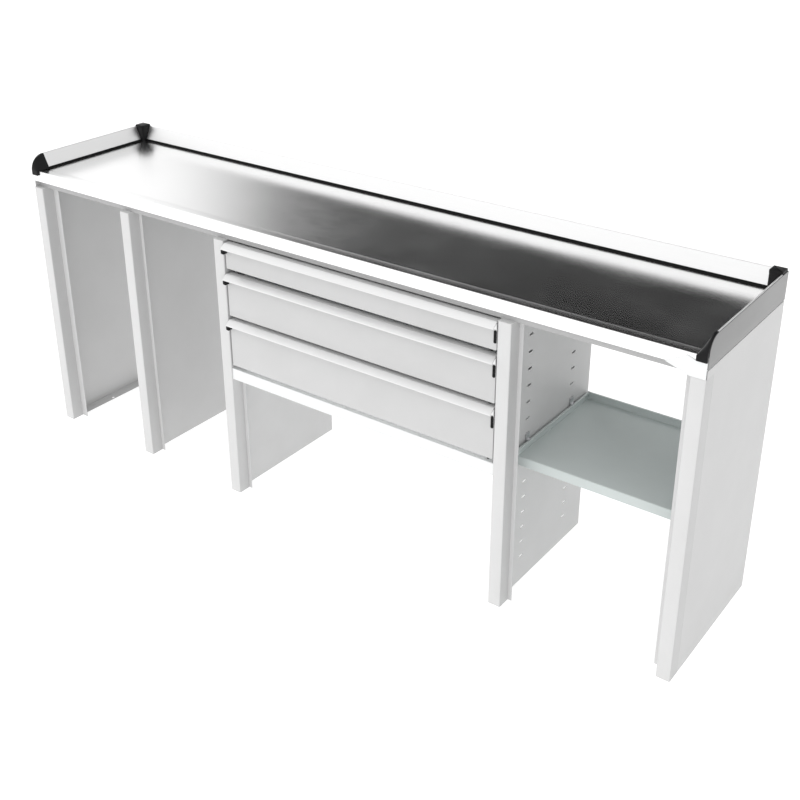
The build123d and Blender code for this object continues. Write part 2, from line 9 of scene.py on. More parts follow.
import bmesh
import bpy
import numpy as np
from bpy.props import FloatProperty, FloatVectorProperty, PointerProperty
from mathutils import Euler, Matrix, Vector

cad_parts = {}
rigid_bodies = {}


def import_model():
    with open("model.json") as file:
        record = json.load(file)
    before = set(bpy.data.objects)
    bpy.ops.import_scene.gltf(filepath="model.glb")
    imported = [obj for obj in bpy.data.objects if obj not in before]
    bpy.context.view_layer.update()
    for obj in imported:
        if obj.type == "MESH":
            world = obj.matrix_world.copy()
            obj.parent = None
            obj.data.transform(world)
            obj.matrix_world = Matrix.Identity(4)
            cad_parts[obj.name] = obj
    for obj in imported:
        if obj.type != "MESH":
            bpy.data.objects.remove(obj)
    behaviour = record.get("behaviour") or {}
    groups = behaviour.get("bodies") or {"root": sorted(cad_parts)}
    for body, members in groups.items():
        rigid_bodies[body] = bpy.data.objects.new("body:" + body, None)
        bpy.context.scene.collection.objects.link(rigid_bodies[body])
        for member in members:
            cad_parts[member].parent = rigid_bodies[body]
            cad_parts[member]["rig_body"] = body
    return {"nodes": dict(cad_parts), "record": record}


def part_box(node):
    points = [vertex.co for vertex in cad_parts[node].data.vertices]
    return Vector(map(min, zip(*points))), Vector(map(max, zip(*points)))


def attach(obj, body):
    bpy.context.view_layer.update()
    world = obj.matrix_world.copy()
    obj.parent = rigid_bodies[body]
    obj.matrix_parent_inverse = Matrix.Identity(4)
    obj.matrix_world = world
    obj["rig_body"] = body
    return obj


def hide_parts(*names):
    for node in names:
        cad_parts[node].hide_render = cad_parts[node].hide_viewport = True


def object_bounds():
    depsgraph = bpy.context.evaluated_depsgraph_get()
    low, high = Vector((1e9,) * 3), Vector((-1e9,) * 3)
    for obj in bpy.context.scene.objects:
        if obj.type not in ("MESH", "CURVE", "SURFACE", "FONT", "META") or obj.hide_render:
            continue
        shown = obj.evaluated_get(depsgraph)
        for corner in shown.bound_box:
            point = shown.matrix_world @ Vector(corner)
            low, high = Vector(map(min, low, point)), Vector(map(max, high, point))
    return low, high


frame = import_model()
CAD_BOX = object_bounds()

bl_info = {
    "name": "Workshop Bench",
    "version": (1, 0, 0),
    "blender": (4, 5, 0),
    "location": "View3D > Sidebar > Bench",
    "description": "Builds the visible surfaces of a steel workshop bench around its frame",
    "category": "Object",
}

NODES = frame["nodes"]
WORKTOP_Z = next(m["pos_m"][2] for m in frame["record"]["mounts"] if m["name"] == "worktop_face")
DRAWERS = ("top", "middle", "bottom")
SIDES = ("left", "right")
COLUMN_COUNT = 5


# ------------------------------------------------------------------ sizes and colours
def length(label, description, default):
    return FloatProperty(name=label, description=description, default=default, unit="LENGTH", min=0.0)


def colour(label, description, default):
    return FloatVectorProperty(
        name=label, description=description, default=default, subtype="COLOR", size=3, min=0.0, max=1.0
    )


class BenchSizes(bpy.types.PropertyGroup):
    """Sizes of bends, hems and edges, which the frame leaves plain."""

    sheet: length("Sheet", "Thickness of folded sheet over its paint", 0.002)
    bend: length("Bend", "Inside radius of a fold", 0.002)
    column_width: length("Column width", "Width of a column cover's front", 0.040)
    column_depth: length("Column depth", "Depth of a column cover", 0.044)
    edge_band: length("Edge band", "Width of the sloping band along the worktop's front", 0.040)
    edge_roll: length("Edge roll", "Radius on the rim of moulded and pressed parts", 0.0012)
    front_roll: length("Front roll", "Radius along a drawer front's edges", 0.0018)
    hem: length("Hem", "Width of the rolled rim of trays", 0.006)
    upstand_top: length("Upstand top", "Width of an upstand at its rim", 0.004)


class BenchColours(bpy.types.PropertyGroup):
    """Base colours of the finishes."""

    paint: colour("Paint", "Powder coat of the sill and fittings", (0.74, 0.74, 0.74))
    column_paint: colour("Column paint", "Powder coat of the columns", (0.69, 0.69, 0.69))
    panel_paint: colour("Panel paint", "Powder coat of the sheet panels", (0.59, 0.59, 0.59))
    front_paint: colour("Front paint", "Powder coat of the drawer fronts", (0.61, 0.61, 0.61))
    # Darker than the other coats as painted shade: the rails sit in shadow under the worktop's fascia.
    rail_shaded_paint: colour("Rail paint", "Powder coat of the rails under the worktop", (0.45, 0.45, 0.45))
    shelf_paint: colour("Shelf paint", "Powder coat of the shelf", (0.60, 0.65, 0.64))
    stainless: colour("Stainless", "Worktop skin", (0.95, 0.95, 0.95))
    trim: colour("Trim", "Upstands", (0.90, 0.90, 0.90))
    # A dark copy of the trim's metal: painted shade on the outer plates at the two ends.
    end_plate_shade: colour("End plate", "Outer plates of the two ends", (0.30, 0.30, 0.30))
    handle: colour("Handle", "Drawer handles", (0.80, 0.80, 0.80))
    plastic: colour("Plastic", "Black mouldings", (0.008, 0.008, 0.0085))
    rubber: colour("Rubber", "Seal and bumpers", (0.002, 0.002, 0.002))
    zinc: colour("Zinc", "Slides, clips and screws", (0.62, 0.63, 0.64))
    board: colour("Board", "Core of the worktop", (0.58, 0.59, 0.59))


def sizes():
    return bpy.context.scene.bench_sizes


def colours():
    return bpy.context.scene.bench_colours


# ------------------------------------------------------------------ outlines
def rounded(points, radii, steps=6):
    """Closed outline with its corners rounded.

    A corner C of radius r becomes the arc between the points A and B that lie
    r tan(turn / 2) from it: ((1-t)^2 A + 2wt(1-t) C + t^2 B) / ((1-t)^2 + 2wt(1-t) + t^2),
    where w = cos(turn / 2), which is an exact circle's arc. A radius of 0 keeps the corner.
    """
    corner = np.asarray(points, float)
    radius = np.broadcast_to(np.asarray(radii, float), (len(corner),))
    back, onward = np.roll(corner, 1, axis=0) - corner, np.roll(corner, -1, axis=0) - corner
    back_length = np.linalg.norm(back, axis=1)
    onward_length = np.linalg.norm(onward, axis=1)
    back, onward = back / back_length[:, None], onward / onward_length[:, None]
    turn = np.arccos(np.clip(-(back * onward).sum(axis=1), -1, 1))
    reach = np.minimum(radius * np.tan(turn / 2), 0.49 * np.minimum(back_length, onward_length))
    a = (corner + back * reach[:, None])[:, None]
    b = (corner + onward * reach[:, None])[:, None]
    t = np.linspace(0, 1, steps)[None, :, None]
    w = np.cos(turn / 2)[:, None, None]
    weight = (1 - t) ** 2 + 2 * w * t * (1 - t) + t**2
    arcs = ((1 - t) ** 2 * a + 2 * w * t * (1 - t) * corner[:, None] + t**2 * b) / weight
    outline = arcs.reshape(-1, 2)
    gap = np.linalg.norm(outline - np.roll(outline, 1, axis=0), axis=1)
    return outline[gap > 1e-7]


def folded(path, thickness, bend, steps=6):
    """Closed section of a sheet folded along an open path, which runs down its middle.

    Each side of the sheet is the path moved half a thickness square to its runs, mitred at
    the folds. The inner side of a fold has the bend's radius, and the outer side that plus
    the thickness.
    """
    path = np.asarray(path, float)
    run = np.diff(path, axis=0)
    run /= np.linalg.norm(run, axis=1)[:, None]
    left = np.stack([-run[:, 1], run[:, 0]], axis=1)
    before, after = np.vstack([left[:1], left]), np.vstack([left, left[-1:]])
    mitre = (before + after) / (1 + (before * after).sum(axis=1))[:, None]
    turn = np.zeros(len(path))
    turn[1:-1] = run[:-1, 0] * run[1:, 1] - run[:-1, 1] * run[1:, 0]
    folds = np.abs(turn) > 1e-6
    left_radius = np.where(folds, np.where(turn > 0, bend, bend + thickness), 0)
    right_radius = np.where(folds, np.where(turn > 0, bend + thickness, bend), 0)
    points = np.vstack([path + mitre * thickness / 2, (path - mitre * thickness / 2)[::-1]])
    return rounded(points, np.concatenate([left_radius, right_radius[::-1]]), steps)


def rectangle(low, high, radius=0.0, steps=6):
    """Rounded rectangle between two corners, anticlockwise, always 4 * steps points."""
    (left, foot), (right, head) = low, high
    centres = np.array([[right, head], [left, head], [left, foot], [right, foot]], float)
    inward = np.array([[-1, -1], [1, -1], [1, 1], [-1, 1]], float)
    angle = np.linspace(0, math.pi / 2, steps) + np.arange(4)[:, None] * math.pi / 2
    arc = np.stack([np.cos(angle), np.sin(angle)], axis=2) * radius
    return ((centres + inward * radius)[:, None] + arc).reshape(-1, 2)


def inset(outline, distance):
    """Outline moved inwards along the mean normal of the two runs at each point."""
    ahead = np.roll(outline, -1, axis=0) - outline
    ahead /= np.linalg.norm(ahead, axis=1)[:, None]
    normal = np.stack([-ahead[:, 1], ahead[:, 0]], axis=1)
    behind = np.roll(normal, 1, axis=0)
    mitre = (normal + behind) / np.maximum(1 + (normal * behind).sum(axis=1), 0.4)[:, None]
    return outline + mitre * distance * math.copysign(1, signed_area(outline))


def signed_area(outline):
    x, y = outline[:, 0], outline[:, 1]
    return 0.5 * float((x * np.roll(y, -1) - y * np.roll(x, -1)).sum())


# ------------------------------------------------------------------ meshes
PLANES = {"X": (1, 2, 0), "Y": (0, 2, 1), "Z": (0, 1, 2)}


def rings_along(axis, outlines, stations):
    """Rings of points: one flat outline, or one for each station, set square to an axis."""
    first, second, third = PLANES[axis]
    stations = np.asarray(stations, float)
    outlines = np.broadcast_to(outlines, (len(stations),) + np.shape(outlines)[-2:])
    rings = np.empty(outlines.shape[:2] + (3,))
    rings[..., first], rings[..., second] = outlines[..., 0], outlines[..., 1]
    rings[..., third] = stations[:, None]
    return rings


def shell(rings, closed_ends=True):
    """Vertices and faces of the surface through a stack of rings, with a cap at each end."""
    count, around = rings.shape[:2]
    index = np.arange(count * around).reshape(count, around)
    following = np.roll(index, -1, axis=1)
    quads = np.stack([index[:-1], following[:-1], following[1:], index[1:]], axis=2).reshape(-1, 4)
    faces = quads.tolist()
    if closed_ends:
        faces += [index[0][::-1].tolist(), index[-1].tolist()]
    return rings.reshape(-1, 3), faces


def solid(axis, outline, stations):
    """Closed solid of one outline, or of a stack of them, along an axis."""
    return shell(rings_along(axis, outline, stations))


def rolled(axis, outline, start, end, roll, steps=4):
    """Solid plate with two rolled rims, where the inset is roll (1 - sin a) at roll (1 - cos a)."""
    angle = np.linspace(0, math.pi / 2, steps)
    inward, along = roll * (1 - np.sin(angle)), roll * (1 - np.cos(angle))
    stations = np.concatenate([start + along, end - along[::-1]])
    amounts = np.concatenate([inward, inward[::-1]])
    outlines = np.stack([inset(outline, amount) for amount in amounts])
    return solid(axis, outlines, stations)


def turned(centre, radius, height, steps=24):
    """Solid of revolution about Z from matching rows of radius and height."""
    angle = np.linspace(0, 2 * math.pi, steps, endpoint=False)
    radius, height = np.asarray(radius, float)[:, None], np.asarray(height, float)[:, None]
    flat = np.zeros((len(radius), steps))
    rings = np.stack([radius * np.cos(angle), radius * np.sin(angle), flat + height], axis=2)
    return shell(rings + np.asarray(centre, float))


def make_piece(name, solids, smooth=40):
    """One mesh object of several closed solids, with its faces turned outwards."""
    offset, vertices, faces = 0, [], []
    for points, polygons in solids:
        vertices.append(points)
        faces += [[corner + offset for corner in polygon] for polygon in polygons]
        offset += len(points)
    mesh = bpy.data.meshes.new(name)
    mesh.from_pydata(np.concatenate(vertices), [], faces)
    mesh.update()
    turn_outwards(mesh)
    piece = bpy.data.objects.new(name, mesh)
    bpy.context.scene.collection.objects.link(piece)
    mesh.shade_smooth()
    mesh.set_sharp_from_angle(angle=math.radians(smooth))
    mark_shaded_flanks(mesh)
    return piece


def turn_outwards(mesh):
    edit = bmesh.new()
    edit.from_mesh(mesh)
    bmesh.ops.recalc_face_normals(edit, faces=edit.faces)
    edit.to_mesh(mesh)
    edit.free()


def mark_shaded_flanks(mesh):
    """Faces that look along the bench get 1 in this attribute and the rest 0: it marks where the paint
    puts painted shade.
    """
    normals = np.zeros(len(mesh.polygons) * 3, np.float32)
    mesh.polygons.foreach_get("normal", normals)
    flank_shade = np.abs(normals.reshape(-1, 3)[:, 0]) > 0.8
    mesh.attributes.new("flank_shade", "FLOAT", "FACE").data.foreach_set("value", flank_shade.astype(np.float32))


def corners(node):
    low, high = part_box(node)
    return np.array(low), np.array(high)


def fit(piece, material, node, slot, *more_nodes):
    """The piece takes a CAD node's place and body, and its finish from the given material; the slot is
    not used.
    """
    piece.data.materials.append(bpy.data.materials[material])
    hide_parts(node, *more_nodes)
    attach(piece, NODES[node]["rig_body"])


def dress(material, *names):
    """A new finish on CAD nodes that keep their own shape."""
    for name in names:
        NODES[name].data.materials.clear()
        NODES[name].data.materials.append(bpy.data.materials[material])


# ------------------------------------------------------------------ shader helpers
def add_node(tree, kind, settings=(), inputs=()):
    """A shader node with its settings and its sockets, which take values or links."""
    made = tree.nodes.new(kind)
    for key, value in dict(settings).items():
        setattr(made, key, value)
    for key, value in dict(inputs).items():
        if isinstance(value, bpy.types.NodeSocket):
            tree.links.new(value, made.inputs[key])
        else:
            made.inputs[key].default_value = value
    return made


def add_math(tree, operation, first, second=0.0, clamp=False):
    settings = {"operation": operation, "use_clamp": clamp}
    made = add_node(tree, "ShaderNodeMath", settings, {0: first, 1: second})
    return made.outputs[0]


def add_ramp(tree, value, low, high, to_low=0.0, to_high=1.0):
    """A value eased from one range to another."""
    settings = {"interpolation_type": "SMOOTHSTEP"}
    span = {0: value, 1: low, 2: high, 3: to_low, 4: to_high}
    made = add_node(tree, "ShaderNodeMapRange", settings, span)
    return made.outputs[0]


def add_mix(tree, share, first, second):
    settings = {"data_type": "RGBA", "clamp_factor": True}
    made = add_node(tree, "ShaderNodeMix", settings, {0: share, 6: first, 7: second})
    return made.outputs[2]


def new_group(name, inputs, outputs):
    """An empty shader group with its sockets: the tree, its input node and its output node."""
    tree = bpy.data.node_groups.new(name, "ShaderNodeTree")
    for label, kind, default in inputs:
        socket = tree.interface.new_socket(label, in_out="INPUT", socket_type="NodeSocket" + kind)
        socket.default_value = default
    for label, kind in outputs:
        tree.interface.new_socket(label, in_out="OUTPUT", socket_type="NodeSocket" + kind)
    return tree, tree.nodes.new("NodeGroupInput"), tree.nodes.new("NodeGroupOutput")


def use_group(tree, name, inputs=()):
    made = add_node(tree, "ShaderNodeGroup", {"node_tree": bpy.data.node_groups[name]}, inputs)
    return made.outputs


def make_grain_group():
    """Fine relief: noise on Object coordinates, stretched along an axis, as a value and a normal."""
    tree, given, result = new_group(
        "fine_grain",
        [
            ("Stretch", "Vector", (1.0, 1.0, 1.0)),
            ("Scale", "Float", 400.0),
            ("Depth", "Float", 0.0001),
            ("Strength", "Float", 0.3),
            ("Detail", "Float", 2.0),
        ],
        [("Tone", "Float"), ("Normal", "Vector")],
    )
    place = add_node(tree, "ShaderNodeTexCoord").outputs["Object"]
    stretched = add_node(
        tree, "ShaderNodeVectorMath", {"operation": "MULTIPLY"}, {0: place, 1: given.outputs["Stretch"]}
    )
    noise = add_node(
        tree,
        "ShaderNodeTexNoise",
        (),
        {
            "Vector": stretched.outputs[0],
            "Scale": given.outputs["Scale"],
            "Detail": given.outputs["Detail"],
            "Roughness": 0.6,
        },
    )
    relief = add_node(
        tree,
        "ShaderNodeBump",
        (),
        {
            "Height": noise.outputs["Fac"],
            "Distance": given.outputs["Depth"],
            "Strength": given.outputs["Strength"],
        },
    )
    tree.links.new(noise.outputs["Fac"], result.inputs["Tone"])
    tree.links.new(relief.outputs["Normal"], result.inputs["Normal"])


def make_dust_group():
    """Dust and scuffs: densest at the floor, thinning with height, and broken up by two noises."""
    tree, given, result = new_group(
        "dust",
        [("Reach", "Float", 0.25), ("Amount", "Float", 0.2), ("Scale", "Float", 9.0)],
        [("Mask", "Float")],
    )
    place = add_node(tree, "ShaderNodeTexCoord").outputs["Object"]
    height = add_node(tree, "ShaderNodeSeparateXYZ", (), {0: place}).outputs["Z"]
    low = add_math(tree, "DIVIDE", height, given.outputs["Reach"])
    near_floor = add_ramp(tree, low, 1.0, 0.0, 0.15, 1.0)
    cloud_inputs = {"Vector": place, "Scale": given.outputs["Scale"], "Detail": 4.0}
    cloud = add_node(tree, "ShaderNodeTexNoise", (), cloud_inputs).outputs["Fac"]
    patchy = add_ramp(tree, cloud, 0.35, 0.75)
    mask = add_math(tree, "MULTIPLY", near_floor, patchy)
    mask = add_math(tree, "MULTIPLY", mask, given.outputs["Amount"], clamp=True)
    tree.links.new(mask, result.inputs["Mask"])


def make_flank_shade_group():
    """Painted shade: darkens a colour on the faces that look along the bench, as marked on the mesh."""
    tree, given, result = new_group(
        "flank_painted_shade",
        [("Color", "Color", (0.8, 0.8, 0.8, 1.0)), ("Share", "Float", 0.8)],
        [("Color", "Color")],
    )
    flank_shade = add_node(tree, "ShaderNodeAttribute", {"attribute_name": "flank_shade"}).outputs["Fac"]
    tone = add_math(tree, "SUBTRACT", 1.0, given.outputs["Share"])
    tone = add_math(tree, "SUBTRACT", 1.0, add_math(tree, "MULTIPLY", flank_shade, tone))
    dark = add_node(
        tree, "ShaderNodeVectorMath", {"operation": "SCALE"}, {0: given.outputs["Color"], "Scale": tone}
    )
    tree.links.new(dark.outputs[0], result.inputs["Color"])


def new_material(name):
    """A material with an empty tree, its Principled shader linked to its output."""
    material = bpy.data.materials.new(name)
    material.use_nodes = True
    tree = material.node_tree
    tree.nodes.clear()
    shader = tree.nodes.new("ShaderNodeBsdfPrincipled")
    output = tree.nodes.new("ShaderNodeOutputMaterial")
    tree.links.new(shader.outputs[0], output.inputs["Surface"])
    return material, tree, shader


def shade(base, factor):
    """A colour made lighter or darker, as the four numbers of a socket."""
    return tuple(min(1.0, part * factor) for part in base) + (1.0,)


def make_paint(name, base, roughness=0.42, dust=0.1, flank_shade=1.0):
    """Powder coat: orange-peel relief, faint cloudiness, painted shade on the flanks and dust near the
    floor.
    """
    _, tree, shader = new_material(name)
    relief = {"Scale": 850.0, "Depth": 0.00006, "Strength": 0.35, "Detail": 1.5}
    peel = use_group(tree, "fine_grain", relief)
    cloud = use_group(tree, "fine_grain", {"Scale": 6.0, "Strength": 0.0, "Detail": 3.0})
    body = add_mix(tree, add_ramp(tree, cloud["Tone"], 0.3, 0.7), shade(base, 0.985), shade(base, 1.015))
    body = use_group(tree, "flank_painted_shade", {"Color": body, "Share": flank_shade})["Color"]
    soiled = use_group(tree, "dust", {"Amount": dust})
    dusty = (base[0] * 0.93, base[1] * 0.90, base[2] * 0.85)
    body = add_mix(tree, soiled["Mask"], body, shade(dusty, 0.9))
    rough = add_ramp(tree, peel["Tone"], 0.2, 0.8, roughness - 0.03, roughness + 0.05)
    rough = add_math(tree, "ADD", rough, add_math(tree, "MULTIPLY", soiled["Mask"], 0.3))
    tree.links.new(body, shader.inputs["Base Color"])
    tree.links.new(rough, shader.inputs["Roughness"])
    tree.links.new(peel["Normal"], shader.inputs["Normal"])
    shader.inputs["Specular IOR Level"].default_value = 0.45


def make_brushed(name, base, roughness, stretch, spread=0.05, contrast=0.03):
    """Brushed metal: hair lines along one axis in colour, roughness and relief."""
    _, tree, shader = new_material(name)
    lines = use_group(
        tree,
        "fine_grain",
        {"Stretch": stretch, "Scale": 900.0, "Depth": 0.000002, "Strength": 0.2, "Detail": 3.0},
    )
    smear = use_group(tree, "fine_grain", {"Scale": 5.0, "Strength": 0.0, "Detail": 4.0})
    body = add_mix(tree, lines["Tone"], shade(base, 1 - contrast), shade(base, 1 + contrast))
    rough = add_ramp(tree, lines["Tone"], 0.2, 0.8, roughness - spread / 2, roughness + spread / 2)
    rough = add_math(tree, "ADD", rough, add_ramp(tree, smear["Tone"], 0.35, 0.75, 0.0, spread * 0.6))
    tree.links.new(body, shader.inputs["Base Color"])
    tree.links.new(rough, shader.inputs["Roughness"])
    tree.links.new(lines["Normal"], shader.inputs["Normal"])
    shader.inputs["Metallic"].default_value = 1.0


def make_moulded(name, base, roughness, scale, depth):
    """Moulded black plastic or rubber: fine spark-eroded grain with a trace of dust."""
    _, tree, shader = new_material(name)
    relief = {"Scale": scale, "Depth": depth, "Strength": 0.4, "Detail": 3.0}
    grain = use_group(tree, "fine_grain", relief)
    soiled = use_group(tree, "dust", {"Amount": 0.12, "Reach": 1.2, "Scale": 30.0})
    body = add_mix(tree, grain["Tone"], shade(base, 0.8), shade(base, 1.4))
    body = add_mix(tree, soiled["Mask"], body, (0.05, 0.05, 0.048, 1.0))
    rough = add_ramp(tree, grain["Tone"], 0.25, 0.75, roughness - 0.05, roughness + 0.08)
    tree.links.new(body, shader.inputs["Base Color"])
    tree.links.new(rough, shader.inputs["Roughness"])
    tree.links.new(grain["Normal"], shader.inputs["Normal"])
    shader.inputs["Specular IOR Level"].default_value = 0.15


def make_zinc(name, base):
    """Zinc-plated steel: spangles from Voronoi cells in colour and roughness."""
    _, tree, shader = new_material(name)
    place = add_node(tree, "ShaderNodeTexCoord").outputs["Object"]
    cells = add_node(tree, "ShaderNodeTexVoronoi", (), {"Vector": place, "Scale": 260.0})
    tone = add_node(tree, "ShaderNodeSeparateColor", (), {0: cells.outputs["Color"]}).outputs[0]
    fine = use_group(tree, "fine_grain", {"Scale": 500.0, "Depth": 0.00003, "Strength": 0.3})
    body = add_mix(tree, tone, shade(base, 0.88), shade(base, 1.08))
    rough = add_ramp(tree, tone, 0.0, 1.0, 0.28, 0.42)
    tree.links.new(body, shader.inputs["Base Color"])
    tree.links.new(rough, shader.inputs["Roughness"])
    tree.links.new(fine["Normal"], shader.inputs["Normal"])
    shader.inputs["Metallic"].default_value = 1.0


def make_board(name, base):
    """Pressed board: chips of several tones with a rough cut face."""
    _, tree, shader = new_material(name)
    place = add_node(tree, "ShaderNodeTexCoord").outputs["Object"]
    chips = add_node(tree, "ShaderNodeTexVoronoi", (), {"Vector": place, "Scale": 420.0})
    tone = add_node(tree, "ShaderNodeSeparateColor", (), {0: chips.outputs["Color"]}).outputs[0]
    fine = use_group(tree, "fine_grain", {"Scale": 700.0, "Depth": 0.0002, "Strength": 0.6})
    body = add_mix(tree, tone, shade(base, 0.65), shade(base, 1.25))
    tree.links.new(body, shader.inputs["Base Color"])
    tree.links.new(fine["Normal"], shader.inputs["Normal"])
    shader.inputs["Roughness"].default_value = 0.85


ALONG_X = (0.012, 1.0, 1.0)
ALONG_Y = (1.0, 0.012, 1.0)


class BENCH_OT_finishes(bpy.types.Operator):
    """Make the shared shader groups and every finish of the bench"""

    bl_idname = "bench.finishes"
    bl_label = "Finishes"

    def execute(self, context):
        make_grain_group()
        make_dust_group()
        make_flank_shade_group()
        shades = colours()
        make_paint("powder_coat", shades.paint)
        # Painted shade: the columns' flanks are painted a fifth darker than their fronts.
        make_paint("column_coat", shades.column_paint, flank_shade=0.8)
        make_paint("panel_coat", shades.panel_paint)
        make_paint("front_coat", shades.front_paint)
        make_paint("rail_coat_painted_shade", shades.rail_shaded_paint)
        make_paint("shelf_coat", shades.shelf_paint, roughness=0.34, dust=0.0)
        make_brushed("brushed_stainless", shades.stainless, 0.20, ALONG_X)
        make_brushed("satin_trim_x", shades.trim, 0.40, ALONG_X)
        make_brushed("satin_trim_y", shades.trim, 0.40, ALONG_Y)
        make_brushed("end_plate_painted_shade", shades.end_plate_shade, 0.42, ALONG_Y)
        make_brushed("handle_satin", shades.handle, 0.38, ALONG_X)
        make_moulded("black_plastic_grain", shades.plastic, 0.36, 1400.0, 0.00004)
        make_moulded("black_rubber_grain", shades.rubber, 0.62, 900.0, 0.00006)
        make_zinc("zinc_plate", shades.zinc)
        make_board("pressed_board", shades.board)
        return {"FINISHED"}


# ------------------------------------------------------------------ uprights
def column_section(low, high, number):
    """Plans of a column: a folded cover with rounded bends, the plate behind it, and its lid."""
    size = sizes()
    width, sheet = size.column_width, size.sheet
    cover = {1: low[0], COLUMN_COUNT: high[0] - width}.get(number, (low[0] + high[0] - width) / 2)
    back = low[1] + size.column_depth
    half = sheet / 2
    path = [
        (cover + half, back),
        (cover + half, low[1] + half),
        (cover + width - half, low[1] + half),
        (cover + width - half, back),
    ]
    plate = rectangle((low[0], back), (high[0], high[1]), sheet * 0.3)
    lid = rectangle((cover + sheet, low[1] + sheet), (cover + width - sheet, back), size.bend)
    return folded(path, sheet, size.bend), plate, lid


class BENCH_OT_uprights(bpy.types.Operator):
    """Build the five folded columns with their lids, and finish the sheet panels behind them"""

    bl_idname = "bench.uprights"
    bl_label = "Uprights"

    def execute(self, context):
        for number in range(1, COLUMN_COUNT + 1):
            node = f"column_{number}"
            low, high = corners(node)
            cover, plate, lid = column_section(low, high, number)
            solids = [solid("Z", cover, (low[2], high[2])), solid("Z", plate, (low[2], high[2]))]
            solids.append(solid("Z", lid, (high[2] - sizes().sheet, high[2])))
            fit(make_piece(f"folded_column_{number}", solids), "column_coat", node, "powder_coat")
        dress("panel_coat", "panel_left", "panel_2", "panel_3", "panel_4", "panel_right")
        # The rails take the darker coat, painted shade for their place under the fascia.
        dress("rail_coat_painted_shade", "front_rail", "rear_rail")
        dress("powder_coat", "drawer_sill")
        return {"FINISHED"}


# ------------------------------------------------------------------ worktop
def edge_section(low, high, top):
    """Section of the skin: flat, up the sloping band, round the nose, down and under."""
    size = sizes()
    half = size.sheet / 2
    return folded(
        [
            (high[1], top - half),
            (low[1] + size.edge_band, top - half),
            (low[1] + half, high[2] - half),
            (low[1] + half, low[2] + half),
            (low[1] + 0.012, low[2] + half),
        ],
        size.sheet,
        size.bend,
    )


class BENCH_OT_worktop(bpy.types.Operator):
    """Fold the stainless skin, and finish the core and screws under it"""

    bl_idname = "bench.worktop"
    bl_label = "Worktop"

    def execute(self, context):
        low, high = corners("worktop_skin")
        top = WORKTOP_Z
        section = edge_section(low, high, top)
        skin = make_piece("folded_skin", [solid("X", section, (low[0], high[0]))])
        fit(skin, "brushed_stainless", "worktop_skin", "stainless")
        dress("pressed_board", "worktop_core")
        dress("zinc_plate", "worktop_screws")
        return {"FINISHED"}


def upstand_outline(foot, height, seal):
    """Section of an upstand as (distance in from its outer face, height above the worktop)."""
    size = sizes()
    top = size.upstand_top
    points = [(0, 0), (foot, 0), (foot, seal), (top, height - 0.001), (top - 0.002, height), (0, height)]
    return rounded(points, [0.0, 0.001, 0.004, 0.0015, 0.001, 0.001])


class BENCH_OT_upstands(bpy.types.Operator):
    """Build the three upstands, the outer plates and the seal at their foot"""

    bl_idname = "bench.upstands"
    bl_label = "Upstands"

    def execute(self, context):
        seal_low, seal_high = corners("worktop_seal")
        seal_rise = seal_high[2] - seal_low[2]
        for side, inward in zip(SIDES, (1, -1)):
            low, high = corners(f"upstand_{side}")
            outline = upstand_outline(high[0] - low[0], high[2] - low[2], seal_rise)
            outer = low[0] if inward == 1 else high[0]
            section = np.stack([outer + inward * outline[:, 0], low[2] + outline[:, 1]], axis=1)
            piece = make_piece(f"side_upstand_{side}", [solid("Y", section, (low[1], high[1]))])
            fit(piece, "satin_trim_y", f"upstand_{side}", "anodised_trim")
        self.build_rear(seal_rise)
        self.build_plates()
        self.build_seal(seal_low, seal_high)
        return {"FINISHED"}

    def build_rear(self, seal_rise):
        low, high = corners("upstand_rear")
        sheet = sizes().sheet
        foot_z = corners("worktop_seal")[0][2]
        outline = upstand_outline(high[1] - sheet - low[1], high[2] - foot_z, seal_rise)
        section = np.stack([high[1] - sheet - outline[:, 0], foot_z + outline[:, 1]], axis=1)
        inner = corners("corner_post_left")[1][0], corners("corner_post_right")[0][0]
        apron = rectangle((high[1] - sheet, low[2]), (high[1], high[2] - sheet), sheet * 0.3)
        solids = [solid("X", section, inner), solid("X", apron, (low[0], high[0]))]
        fit(make_piece("rear_upstand", solids), "satin_trim_x", "upstand_rear", "anodised_trim")

    def build_plates(self):
        for side in SIDES:
            node = f"side_plate_{side}"
            low, high = corners(node)
            nose = corners(f"end_cap_{side}")[1][1] - low[1]
            points = [(low[1], low[2]), (high[1], low[2]), (high[1], high[2]), (low[1], high[2])]
            outline = rounded(points, [0.001, 0.001, 0.001, nose], steps=14)
            plate = rolled("X", outline, low[0], high[0], sizes().sheet * 0.3, steps=3)
            # The outer plates take the darker metal, painted shade for their side.
            fit(make_piece(f"outer_plate_{side}", [plate]), "end_plate_painted_shade", node, "anodised_trim")

    def build_seal(self, low, high):
        """A soft lip: a section with a sloping, rounded top, carried along the three sides."""
        width = corners("worktop_seal")[0][1]
        rise = high[2] - low[2]
        foot = 0.006
        points = [(0, 0), (foot, 0), (foot, rise * 0.25), (foot * 0.5, rise * 0.75), (0, rise)]
        outline = rounded(points, [0, 0.0008, 0.001, 0.0015, 0.0008])
        left, right = corners("upstand_left"), corners("upstand_right")
        rear = corners("upstand_rear")[0][1]
        run_y = (width, corners("corner_post_left")[0][1])
        run_x = corners("corner_post_left")[1][0], corners("corner_post_right")[0][0]
        base = low[2]
        left_section = np.stack([left[1][0] + outline[:, 0], base + outline[:, 1]], axis=1)
        right_section = np.stack([right[0][0] - outline[:, 0], base + outline[:, 1]], axis=1)
        rear_section = np.stack([rear - outline[:, 0], base + outline[:, 1]], axis=1)
        solids = [
            solid("Y", left_section, run_y),
            solid("Y", right_section, run_y),
            solid("X", rear_section, run_x),
        ]
        fit(make_piece("seal_lip", solids), "black_rubber_grain", "worktop_seal", "seal_rubber")


